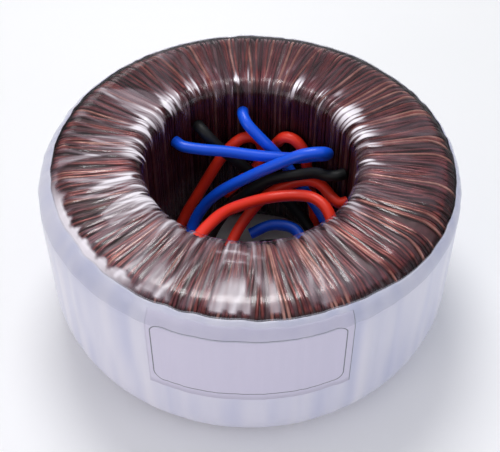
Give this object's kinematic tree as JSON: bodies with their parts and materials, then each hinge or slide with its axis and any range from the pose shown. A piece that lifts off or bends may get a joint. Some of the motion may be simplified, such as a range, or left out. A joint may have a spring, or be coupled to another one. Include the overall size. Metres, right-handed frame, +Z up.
{
  "type": "toroidal transformer",
  "caption": "Toroidal mains transformer wrapped in clear film with a white side band, its insulated leads tucked into the centre hole.",
  "frame": {"origin": "centre of the flat underside of the ring", "axes": "+Z up along the axis of the ring; the middle of the label faces -Y"},
  "size_m": [0.1196, 0.1198, 0.059],
  "materials": {
    "core_steel": "satin",
    "cap_plastic": "matt",
    "core_tape": "matt",
    "enamelled_copper": "gloss",
    "layer_film": "gloss",
    "clear_film": "gloss",
    "white_film": "satin",
    "edge_tape": "gloss",
    "label_film": "satin",
    "blue_insulation": "satin",
    "red_insulation": "satin",
    "black_insulation": "satin"
  },
  "bodies": {
    "root": {"core": "core_steel", "core_cap_top": "cap_plastic", "core_cap_bottom": "cap_plastic", "core_wrap": "core_tape", "primary_layer_inner": "enamelled_copper", "primary_layer_film": "layer_film", "primary_layer_outer": "enamelled_copper", "barrier_wrap": "layer_film", "secondary_a": "enamelled_copper", "secondary_b": "enamelled_copper", "film_wrap": "clear_film", "side_band": "white_film", "edge_tape": "edge_tape", "rating_label": "label_film", "lead_blue_a": "blue_insulation", "lead_blue_b": "blue_insulation", "lead_red_a": "red_insulation", "lead_red_b": "red_insulation", "lead_black_a": "black_insulation", "lead_black_b": "black_insulation"}
  },
  "joints": []
}
